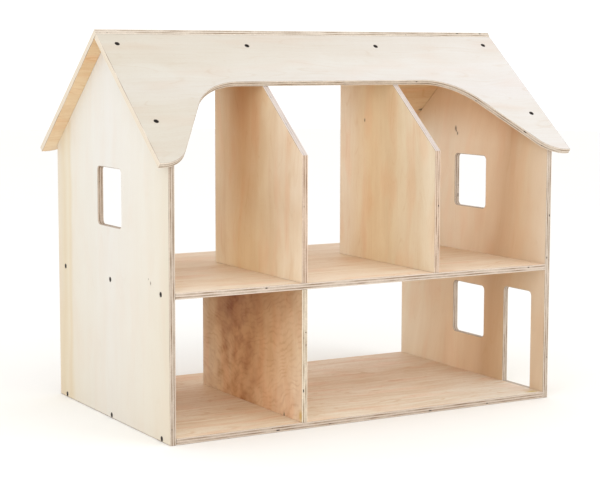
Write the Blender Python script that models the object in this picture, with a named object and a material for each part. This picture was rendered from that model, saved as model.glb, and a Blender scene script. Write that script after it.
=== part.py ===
"""A wooden dollhouse of screwed 9 mm birch plywood, open at the front and at the back.

Metres, +Z up. +X runs along the width, and +Y runs to the back. The origin is the middle
of the base. Every panel is drawn flat in its own XY plane, with its thickness along its Z.
"""

import math

import bmesh
import bpy
from mathutils import Matrix, Vector

# The sheet and the clear space that touching pieces keep.
SHEET = 0.009
GAP = 0.0003

# The body of the house, over the outer faces of its gables.
WIDTH = 0.650
DEPTH = 0.400
EAVE_HEIGHT = 0.391
APEX_HEIGHT = 0.554
UPPER_FLOOR_TOP = 0.210

# The dividers. Each one is flush with the front of the floors.
DIVIDER_X = 0.113
UPPER_DIVIDER_BACK = 0.070
LOWER_DIVIDER_BACK = 0.115

# The window and door openings of the gables.
WINDOW_SIDE = 0.085
WINDOW_CORNER = 0.007
UPPER_WINDOW_CENTRE = 0.326
LOWER_WINDOW_CENTRE = 0.1135
DOOR_WIDTH = 0.070
DOOR_CENTRE_Y = -0.131
DOOR_TOP = 0.163

# The roof panels, measured along their undersides from the apex of the gables.
ROOF_OVERHANG = 0.021
EAVE_LENGTH = 0.274
CUT_TOP = 0.1090
CUT_FLAT_HALF = 0.160
CUT_SHOULDER_RADIUS = 0.095
CUT_FOOT_RADIUS = 0.050
CUT_ANGLE = math.radians(59)

# Countersunk wood screws, 3.5 x 30, and the dowels of the lower divider.
SCREW_LENGTH = 0.030
SCREW_RADIUS = 0.00175
SCREW_POINT = 0.005
HEAD_RADIUS = 0.0036
HEAD_RIM = 0.0004
RECESS_DEPTH = 0.0014
RECESS_ARM = 0.0020
RECESS_WIDTH = 0.0009
FLOOR_SCREW_SPACING = 0.1725
ROOF_SCREW_TOP = 0.0235
ROOF_SCREW_FOOT = 0.1900
ROOF_SCREW_DIVIDER = 0.0270
DOWEL_RADIUS = 0.0025
DOWEL_LENGTH = 0.024
DOWEL_IN_FLOOR = 0.006
DOWEL_Y = (-0.110, 0.080)

ARC_STEPS = 12
ROUND_SIDES = 16

PALE_BIRCH = (0.82, 0.73, 0.61)
WARM_BIRCH = (0.74, 0.54, 0.35)
BEECH = (0.70, 0.49, 0.30)
BLACK_STEEL = (0.03, 0.028, 0.026)

PITCH = math.atan2(APEX_HEIGHT - EAVE_HEIGHT, DEPTH / 2)
UPRIGHT = Matrix.Rotation(math.pi / 2, 4, "Z") @ Matrix.Rotation(math.pi / 2, 4, "X")
FRONT_SLOPE = Matrix.Translation((0, 0, APEX_HEIGHT)) @ Matrix.Rotation(PITCH, 4, "X")
REAR_SLOPE = Matrix.Rotation(math.pi, 4, "Z") @ FRONT_SLOPE


def clear_scene():
    for obj in list(bpy.data.objects):
        bpy.data.objects.remove(obj)


def finish(name, colour, roughness, metallic=0.0):
    """A Principled material."""
    material = bpy.data.materials.new(name)
    material.use_nodes = True
    shader = material.node_tree.nodes["Principled BSDF"]
    shader.inputs["Base Color"].default_value = (*colour, 1.0)
    shader.inputs["Roughness"].default_value = roughness
    shader.inputs["Metallic"].default_value = metallic
    return material


def add_object(name, mesh, place, material=None):
    obj = bpy.data.objects.new(name, mesh)
    obj.matrix_world = place
    if material:
        mesh.materials.clear()
        mesh.materials.append(material)
    bpy.context.scene.collection.objects.link(obj)
    return obj


def mesh_from(name, build):
    """A mesh made by build(bm), with its faces pointing out."""
    bm = bmesh.new()
    build(bm)
    bmesh.ops.recalc_face_normals(bm, faces=bm.faces)
    mesh = bpy.data.meshes.new(name)
    bm.to_mesh(mesh)
    bm.free()
    return mesh


def prism(bm, outline, low, high):
    """A solid with this outline in XY, from Z = low to Z = high."""
    verts = [bm.verts.new((x, y, low)) for x, y in outline]
    face = bm.faces.new(verts)
    top = bmesh.ops.extrude_face_region(bm, geom=[face])["geom"]
    moved = [item for item in top if isinstance(item, bmesh.types.BMVert)]
    bmesh.ops.translate(bm, verts=moved, vec=(0, 0, high - low))


def turned(bm, profile, place):
    """A solid turned about the Z axis of place. The profile holds (radius, z) from pole to pole."""
    rings = []
    for radius, z in profile:
        steps = range(ROUND_SIDES if radius else 1)
        angles = [2 * math.pi * step / ROUND_SIDES for step in steps]
        rings.append([(radius * math.cos(a), radius * math.sin(a), z) for a in angles])
    rings = [[bm.verts.new(place @ Vector(point)) for point in ring] for ring in rings]
    for ring, following in zip(rings, rings[1:]):
        for step in range(ROUND_SIDES):
            corners = [ring[step % len(ring)], ring[(step + 1) % ROUND_SIDES % len(ring)]]
            corners += [following[(step + 1) % ROUND_SIDES % len(following)]]
            corners += [following[step % len(following)]]
            bm.faces.new(list(dict.fromkeys(corners)))


def arc(centre, radius, start, end, steps=ARC_STEPS):
    """Points on an arc, with its first and last ones. Angles are in radians."""
    angles = [start + (end - start) * step / steps for step in range(steps + 1)]
    return [(centre[0] + radius * math.cos(a), centre[1] + radius * math.sin(a)) for a in angles]


def rectangle(low_x, high_x, low_y, high_y):
    return [(low_x, low_y), (high_x, low_y), (high_x, high_y), (low_x, high_y)]


def rounded_rectangle(low_x, high_x, low_y, high_y, radius, square_base=False):
    """A rectangle with round corners, or with only its upper two round."""
    steps = ARC_STEPS // 2
    quarter = math.pi / 2
    outline = []
    if square_base:
        outline += [(low_x, low_y), (high_x, low_y)]
    else:
        outline += arc((low_x + radius, low_y + radius), radius, 2 * quarter, 3 * quarter, steps)
        outline += arc((high_x - radius, low_y + radius), radius, 3 * quarter, 4 * quarter, steps)
    outline += arc((high_x - radius, high_y - radius), radius, 0, quarter, steps)
    outline += arc((low_x + radius, high_y - radius), radius, quarter, 2 * quarter, steps)
    return outline


def cut(obj, name, mesh, place):
    """Cuts a hidden cutter out of an object."""
    cutter = add_object(name, mesh, place)
    cutter.hide_render = True
    cutter.display_type = "WIRE"
    modifier = obj.modifiers.new(name, "BOOLEAN")
    modifier.operation = "DIFFERENCE"
    modifier.solver = "EXACT"
    modifier.object = cutter


def add_panel(name, outline, place, colour, openings=()):
    """A panel of the sheet, with its openings cut right through."""
    mesh = mesh_from(name, lambda bm: prism(bm, outline, 0, SHEET))
    obj = add_object(name, mesh, place, finish(name + "_birch", colour, 0.55))
    for number, opening in enumerate(openings, 1):
        hole = mesh_from(name, lambda bm, edge=opening: prism(bm, edge, -SHEET, 2 * SHEET))
        cut(obj, f"{name}_opening_{number}", hole, place)
    return obj


def screw_profile(grow=0.0, cover=0.0):
    """A countersunk screw's half section, head at Z = 0. Grown by grow, it is the screw's seat."""
    neck = HEAD_RADIUS - SCREW_RADIUS + HEAD_RIM
    profile = [(0, cover), (HEAD_RADIUS + grow, cover), (HEAD_RADIUS + grow, -HEAD_RIM - grow / 2)]
    profile += [(SCREW_RADIUS + grow, -neck - grow / 2)]
    profile += [(SCREW_RADIUS + grow, SCREW_POINT - SCREW_LENGTH)]
    profile += [(0, -SCREW_LENGTH - 3 * grow)]
    return profile


def dowel_profile(grow=0.0):
    half = DOWEL_LENGTH / 2 + grow
    radius = DOWEL_RADIUS + grow
    return [(0, half), (radius, half), (radius, -half), (0, -half)]


def bore(obj, profile, places):
    """Bores a seat with this profile at each of the places, which are in the house's frame."""
    name = f"{obj.name}_bores_{len(obj.modifiers)}"

    def build(bm):
        for place in places:
            turned(bm, profile, place)

    cut(obj, name, mesh_from(name, build), Matrix.Identity(4))


def make_screw_mesh(material):
    """A screw with a cross recess in its head, shaded smooth."""
    blank = mesh_from("screw_blank", lambda bm: turned(bm, screw_profile(), Matrix.Identity(4)))
    screw = add_object("screw_blank", blank, Matrix.Identity(4), material)
    arm = RECESS_ARM
    half = RECESS_WIDTH / 2
    cross = [(arm, -half), (arm, half), (half, half), (half, arm), (-half, arm), (-half, half)]
    cross += [(-x, -y) for x, y in cross]
    recess = mesh_from("screw_recess", lambda bm: prism(bm, cross, -RECESS_DEPTH, HEAD_RIM))
    cut(screw, "screw_recess", recess, Matrix.Identity(4))
    evaluated = screw.evaluated_get(bpy.context.evaluated_depsgraph_get())
    mesh = bpy.data.meshes.new_from_object(evaluated)
    mesh.name = "screw"
    mesh.shade_smooth()
    mesh.set_sharp_from_angle(angle=math.radians(35))
    for helper in ("screw_blank", "screw_recess"):
        bpy.data.objects.remove(bpy.data.objects[helper])
    return mesh


def make_dowel_mesh(material):
    mesh = mesh_from("dowel", lambda bm: turned(bm, dowel_profile(), Matrix.Identity(4)))
    mesh.materials.append(material)
    mesh.shade_smooth()
    mesh.set_sharp_from_angle(angle=math.radians(35))
    return mesh


def upper_window():
    half = WINDOW_SIDE / 2
    low = UPPER_WINDOW_CENTRE - half
    return rounded_rectangle(-half, half, low, low + WINDOW_SIDE, WINDOW_CORNER)


def lower_window():
    half = WINDOW_SIDE / 2
    low = LOWER_WINDOW_CENTRE - half
    return rounded_rectangle(-half, half, low, low + WINDOW_SIDE, WINDOW_CORNER)


def door():
    """A doorway whose sill is level with the base floor."""
    near = DOOR_CENTRE_Y - DOOR_WIDTH / 2
    far = DOOR_CENTRE_Y + DOOR_WIDTH / 2
    return rounded_rectangle(near, far, SHEET, DOOR_TOP, WINDOW_CORNER, square_base=True)


def gable_outline():
    half = DEPTH / 2
    return [(-half, 0), (half, 0), (half, EAVE_HEIGHT), (0, APEX_HEIGHT), (-half, EAVE_HEIGHT)]


def upper_divider_outline():
    """From the upper floor to the roof, with a short slope behind the apex."""
    base = UPPER_FLOOR_TOP + GAP
    back = UPPER_DIVIDER_BACK
    back_height = APEX_HEIGHT - back * math.tan(PITCH)
    return [
        (-DEPTH / 2, base),
        (back, base),
        (back, back_height),
        (0, APEX_HEIGHT),
        (-DEPTH / 2, EAVE_HEIGHT),
    ]


def lower_divider_outline():
    low = SHEET + GAP
    high = UPPER_FLOOR_TOP - SHEET - GAP
    return rectangle(-DEPTH / 2, LOWER_DIVIDER_BACK, low, high)


def roof_outline(ridge):
    """A roof panel whose eave side is cut out in an ogee on each side of a straight edge.

    X is along the house. Y is up the slope, with 0 at the apex of the gables.
    """
    end = WIDTH / 2 + ROOF_OVERHANG
    quarter = math.pi / 2
    shoulder = (CUT_FLAT_HALF, -CUT_TOP - CUT_SHOULDER_RADIUS)
    curve = arc(shoulder, CUT_SHOULDER_RADIUS, quarter, quarter - CUT_ANGLE)
    foot_rise = CUT_FOOT_RADIUS * (1 - math.cos(CUT_ANGLE))
    straight_drop = curve[-1][1] + EAVE_LENGTH - foot_rise
    foot_x = curve[-1][0] + straight_drop / math.tan(CUT_ANGLE)
    foot_x += CUT_FOOT_RADIUS * math.sin(CUT_ANGLE)
    foot = (foot_x, CUT_FOOT_RADIUS - EAVE_LENGTH)
    curve += arc(foot, CUT_FOOT_RADIUS, 3 * quarter - CUT_ANGLE, 3 * quarter)
    right = curve + [(end, -EAVE_LENGTH), (end, ridge)]
    return [(-x, y) for x, y in reversed(right)] + right


def upright_at(x):
    """The place of an upright panel whose lower X face is at x."""
    return Matrix.Translation((x, 0, 0)) @ UPRIGHT


def gable_screws(side):
    """Places of the screws from one gable into the two floors, with Z out of the wood."""
    out = Matrix.Rotation(side * math.pi / 2, 4, "Y")
    places = []
    for z in (SHEET / 2, UPPER_FLOOR_TOP - SHEET / 2):
        for step in (-1, 0, 1):
            spot = (side * WIDTH / 2, step * FLOOR_SCREW_SPACING, z)
            places.append(Matrix.Translation(spot) @ out)
    return places


def roof_screws(slope, side):
    """Places of the screws of one roof panel: two into the gable of this side, one into the divider."""
    gable_x = side * (WIDTH / 2 - SHEET / 2)
    spots = [(gable_x, -ROOF_SCREW_TOP), (gable_x, -ROOF_SCREW_FOOT)]
    spots.append((side * DIVIDER_X, -ROOF_SCREW_DIVIDER))
    return [slope @ Matrix.Translation((x, y, SHEET + GAP)) for x, y in spots]


def screws_up(x, back, head_z, count=3):
    """Places of the screws that go up into a divider from the floor below it."""
    inset = (back + DEPTH / 2) / (2 * count)
    spots = [-DEPTH / 2 + inset * (2 * index + 1) for index in range(count)]
    over = Matrix.Rotation(math.pi, 4, "X")
    return [Matrix.Translation((x, y, head_z)) @ over for y in spots]


def add_panels():
    inner = WIDTH / 2 - SHEET
    half = DEPTH / 2
    floor = rectangle(GAP - inner, inner - GAP, -half, half)
    upper_place = Matrix.Translation((0, 0, UPPER_FLOOR_TOP - SHEET))
    left_place = upright_at(-DIVIDER_X - SHEET / 2)
    right_place = upright_at(DIVIDER_X - SHEET / 2)
    # The rear panel runs over the square top end of the front panel.
    rear_ridge = (SHEET + GAP * (1 - math.cos(2 * PITCH))) / math.sin(2 * PITCH)
    front_ridge = -(SHEET + GAP) / math.tan(2 * PITCH)
    lift = Matrix.Translation((0, 0, GAP))
    openings = [upper_window(), lower_window(), door()]
    panels = [
        add_panel("left_gable", gable_outline(), upright_at(-WIDTH / 2), PALE_BIRCH, openings[:1]),
        add_panel("right_gable", gable_outline(), upright_at(inner), WARM_BIRCH, openings),
        add_panel("base_floor", floor, Matrix.Identity(4), WARM_BIRCH),
        add_panel("upper_floor", floor, upper_place, WARM_BIRCH),
        add_panel("lower_divider", lower_divider_outline(), left_place, WARM_BIRCH),
        add_panel("upper_left_divider", upper_divider_outline(), left_place, WARM_BIRCH),
        add_panel("upper_right_divider", upper_divider_outline(), right_place, WARM_BIRCH),
        add_panel("front_roof", roof_outline(front_ridge), FRONT_SLOPE @ lift, PALE_BIRCH),
        add_panel("rear_roof", roof_outline(rear_ridge), REAR_SLOPE @ lift, PALE_BIRCH),
    ]
    return {obj.name: obj for obj in panels}


def fastener_groups():
    """Each group of screws: its name, its places, and the panels that it goes through and into."""
    floor_under = UPPER_FLOOR_TOP - SHEET
    uppers = ["upper_left_divider", "upper_right_divider"]
    groups = [
        ("left_gable_screw", gable_screws(-1), ["left_gable", "base_floor", "upper_floor"]),
        ("right_gable_screw", gable_screws(1), ["right_gable", "base_floor", "upper_floor"]),
    ]
    for roof, slope in (("front_roof", FRONT_SLOPE), ("rear_roof", REAR_SLOPE)):
        places = roof_screws(slope, -1) + roof_screws(slope, 1)
        groups.append((roof + "_screw", places, [roof, "left_gable", "right_gable"] + uppers))
    lower = screws_up(-DIVIDER_X, LOWER_DIVIDER_BACK, 0)
    groups.append(("lower_divider_screw", lower, ["base_floor", "lower_divider"]))
    for name, x in zip(uppers, (-DIVIDER_X, DIVIDER_X)):
        places = screws_up(x, UPPER_DIVIDER_BACK, floor_under)
        groups.append((name + "_screw", places, ["upper_floor", name]))
    return groups


def add_screws(panels):
    """Screws driven to different stops, each in a seat bored in the panels that it joins."""
    mesh = make_screw_mesh(finish("black_steel", BLACK_STEEL, 0.4, 1.0))
    seats = {name: [] for name in panels}
    for prefix, places, joined in fastener_groups():
        for number, place in enumerate(places, 1):
            turn = Matrix.Rotation(math.radians(37 * number), 4, "Z")
            add_object(f"{prefix}_{number}", mesh, place @ turn)
        for name in joined:
            seats[name] += places
    for name, places in seats.items():
        bore(panels[name], screw_profile(GAP, GAP), places)


def add_dowels(panels):
    """Dowels between the top edge of the lower divider and the upper floor."""
    mesh = make_dowel_mesh(finish("beech_dowel", BEECH, 0.6))
    height = UPPER_FLOOR_TOP - SHEET + DOWEL_IN_FLOOR - DOWEL_LENGTH / 2
    places = [Matrix.Translation((-DIVIDER_X, y, height)) for y in DOWEL_Y]
    for number, place in enumerate(places, 1):
        add_object(f"lower_divider_dowel_{number}", mesh, place)
    for name in ("lower_divider", "upper_floor"):
        bore(panels[name], dowel_profile(GAP), places)


def main():
    clear_scene()
    panels = add_panels()
    add_screws(panels)
    add_dowels(panels)


if __name__ == "__main__":
    main()
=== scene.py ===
"""Looks of a wooden dollhouse, screwed together from 9 mm birch plywood.

Metres, +Z up, +X along the house towards the gable with the doorway, +Y to the back.
Every panel is drawn flat in its own XY plane, with its thickness along its own Z.
"""

import functools
import math

import bmesh
import bpy
from mathutils import Matrix, Vector


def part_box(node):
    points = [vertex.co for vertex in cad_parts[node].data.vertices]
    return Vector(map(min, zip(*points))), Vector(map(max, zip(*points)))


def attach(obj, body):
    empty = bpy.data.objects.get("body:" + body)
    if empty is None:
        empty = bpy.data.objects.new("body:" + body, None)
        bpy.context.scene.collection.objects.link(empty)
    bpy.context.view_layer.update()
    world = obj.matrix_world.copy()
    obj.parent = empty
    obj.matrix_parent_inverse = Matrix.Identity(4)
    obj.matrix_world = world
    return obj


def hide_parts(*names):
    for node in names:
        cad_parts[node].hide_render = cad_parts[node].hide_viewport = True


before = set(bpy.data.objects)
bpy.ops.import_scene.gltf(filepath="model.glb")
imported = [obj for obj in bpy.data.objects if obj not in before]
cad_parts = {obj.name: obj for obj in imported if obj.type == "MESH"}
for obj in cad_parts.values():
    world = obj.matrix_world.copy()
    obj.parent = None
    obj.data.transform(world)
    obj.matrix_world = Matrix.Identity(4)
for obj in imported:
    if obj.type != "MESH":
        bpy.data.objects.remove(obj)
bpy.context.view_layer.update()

bl_info = {
    "name": "Plywood dollhouse",
    "version": (1, 0, 0),
    "blender": (4, 5, 0),
    "location": "3D View > Sidebar > Dollhouse",
    "description": "Builds the panels, screws and dowels of a plywood dollhouse",
    "category": "Object",
}

MM = 0.001
PLIES = 5
# The gap between any two pieces.
CLEARANCE = 0.0003

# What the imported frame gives.
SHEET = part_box("base_floor")[1].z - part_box("base_floor")[0].z
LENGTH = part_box("right_gable")[1].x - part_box("left_gable")[0].x
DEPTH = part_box("left_gable")[1].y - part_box("left_gable")[0].y
APEX_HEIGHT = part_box("left_gable")[1].z
UPPER_FLOOR_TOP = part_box("upper_floor")[1].z
DIVIDER_X = (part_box("upper_right_divider")[0].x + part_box("upper_right_divider")[1].x) / 2
UPPER_DIVIDER_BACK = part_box("upper_right_divider")[1].y
LOWER_DIVIDER_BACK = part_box("lower_divider")[1].y
ROOF_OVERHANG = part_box("front_roof")[1].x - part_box("right_gable")[1].x

# An edge that shows is eased by sanding. One that butts against another panel stays crisp.
CRISP = 0.0001
ARRIS_STEPS = 4
CURVE_STEPS = 24
CORNER_STEPS = 8
SCREW_SIDES = 24
DOWEL_SIDES = 48
FLUTES = 12

# The driver's cross at its top and at its bottom: length and half width of an arm, and Z.
RECESS = ((0.0020, 0.00048, 0.0003), (0.0009, 0.00028, -0.0017))
# The plain shank is this much thinner than the thread, and each screw of a group stops this
# much further round than the one before.
UNDERCUT = 0.0002
SCREW_TURN = math.radians(37)

# The camera stands at the front left, a little above the house's middle.
CAMERA_PLACE = (-1.2640, -2.1826, 0.5346)
CAMERA_AZIMUTH = math.radians(-29.955)
CAMERA_ELEVATION = math.radians(6.493)
CAMERA_ROLL = math.radians(0.109)
FOCAL_LENGTH_MM = 98.148
# One softbox stands at the front left and the other at the front right.
KEY_PLACE, FILL_PLACE, SOFTBOX_SIDE = (-2.1, -2.3, 1.3), (1.5, -2.4, 1.6), 2.0

QUARTER = math.pi / 2
UPRIGHT = Matrix.Rotation(QUARTER, 4, "Z") @ Matrix.Rotation(QUARTER, 4, "X")


def linear(hex_code):
    """The linear values of an sRGB hex colour."""
    values = [int(hex_code[start : start + 2], 16) / 255 for start in (1, 3, 5)]
    return tuple(v / 12.92 if v <= 0.04045 else ((v + 0.055) / 1.055) ** 2.4 for v in values)


def length(name, description, default):
    """A property that holds a length in metres."""
    return bpy.props.FloatProperty(
        name=name, description=description, default=default, min=0.0, precision=4, unit="LENGTH"
    )


def colour(name, description, default):
    """A property that holds a colour, with its default as an sRGB hex value."""
    return bpy.props.FloatVectorProperty(
        name=name, description=description, default=linear(default),
        min=0.0, max=1.0, size=3, subtype="COLOR",
    )


class DollhouseSizes(bpy.types.PropertyGroup):
    """Sizes of the house and of its openings."""

    ease: length("Eased edge", "Radius that sanding leaves on an edge that shows", 0.0008)
    eave_height: length("Eave height", "Height of the gables' square corners", 0.391)
    window_side: length("Window", "Side of a square window", 0.085)
    window_corner: length("Opening corner", "Corner radius of windows and doorway", 0.007)
    upper_window: length("Upper window height", "Height of the upper windows' middle", 0.326)
    lower_window: length("Lower window height", "Height of the lower window's middle", 0.1135)
    door_width: length("Doorway width", "Width of the doorway", 0.070)
    door_inset: length("Doorway inset", "From the front of the gable to the doorway", 0.034)
    door_top: length("Doorway top", "Height of the doorway's top", 0.163)
    eave_length: length("Eave length", "From the apex to the eave, along the roof", 0.274)
    cut_top: length("Cut-out top", "From the apex to the cut-out, along the roof", 0.1090)
    cut_half: length("Cut-out straight", "Half of the cut-out's straight edge", 0.160)
    shoulder: length("Cut-out shoulder", "Radius of the cut-out's upper curves", 0.095)
    foot: length("Cut-out foot", "Radius of the cut-out's lower curves", 0.050)
    cut_angle: bpy.props.FloatProperty(
        name="Cut-out slope",
        description="Slope of the straight run between the cut-out's two curves",
        default=math.radians(59),
        subtype="ANGLE",
    )


class DollhouseFasteners(bpy.types.PropertyGroup):
    """Sizes and places of the countersunk screws and of the dowels."""

    screw_length: length("Screw length", "Length of a screw over its head", 0.030)
    head_radius: length("Head radius", "Radius of a countersunk head", 0.0036)
    crest_radius: length("Thread radius", "Radius over the thread's crests", 0.00175)
    core_radius: length("Core radius", "Radius at the thread's root", 0.00118)
    thread_pitch: length("Thread pitch", "Distance from one crest to the next", 0.0016)
    head_rim: length("Head rim", "Height of the head's straight rim", 0.0004)
    point_length: length("Point", "Length of the tapered point", 0.005)
    plain_length: length("Plain shank", "From the head's top to the end of the shank", 0.0085)
    floor_spacing: length("Floor screws", "Spacing of a gable's screws along a floor", 0.1725)
    roof_top: length("Ridge screws", "From the apex to a roof panel's top screws", 0.0235)
    roof_foot: length("Eave screws", "From the apex to a roof panel's bottom screws", 0.1900)
    roof_divider: length("Divider screws", "From the apex to the screws over a divider", 0.0270)
    dowel_radius: length("Dowel radius", "Radius of a dowel", 0.0025)
    dowel_length: length("Dowel length", "Length of a dowel", 0.024)
    dowel_rise: length("Dowel rise", "How far a dowel stands in the upper floor", 0.006)
    dowel_chamfer: length("Dowel chamfer", "Chamfer at each end of a dowel", 0.0006)
    flute_depth: length("Flute depth", "Depth of a dowel's flutes", 0.0002)


class DollhouseColours(bpy.types.PropertyGroup):
    """Colours of the wood and of the screws."""

    # The outer veneer is set darker and greyer, and the rooms' veneer lighter and warmer. This is
    # partly the two faces' grades, and partly painted light that makes up for the stronger light
    # outside and the dimmer light in the rooms.
    outer_veneer: colour("Outer veneer", "Palest birch, kept for the outside", "#DEDCD7")
    inner_veneer: colour("Inner veneer", "Warmer birch of the rooms", "#F5EFE3")
    long_ply: colour("Long ply", "Edge of a ply that runs along the edge", "#EDE5DC")
    cross_ply: colour("Cross ply", "End grain of a ply that runs across the edge", "#A18D79")
    glue_line: colour("Glue line", "Resin between two plies", "#7A6350")
    ply_gap: colour("Ply gap", "Gap in an inner ply", "#3A291C")
    knot: colour("Pin knot", "Heart of a pin knot", "#4E301B")
    steel: colour("Screws", "Black phosphate on steel", "#241F1C")
    beech: colour("Dowels", "Steamed beech", "#CFA57C")


class DollhouseStage(bpy.types.PropertyGroup):
    """The floor and the studio's light."""

    floor: colour("Floor", "Seamless paper under the house", "#F7F6F3")
    floor_radius: length("Floor radius", "Radius of the floor", 9.0)
    surround: bpy.props.FloatProperty(
        name="Surround", description="Strength of the white surround", default=1.10
    )
    key_power: bpy.props.FloatProperty(
        name="Key light", description="Softbox at the front left", default=24.0, unit="POWER"
    )
    fill_power: bpy.props.FloatProperty(
        name="Fill light", description="Softbox at the front right", default=18.0, unit="POWER"
    )


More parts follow.
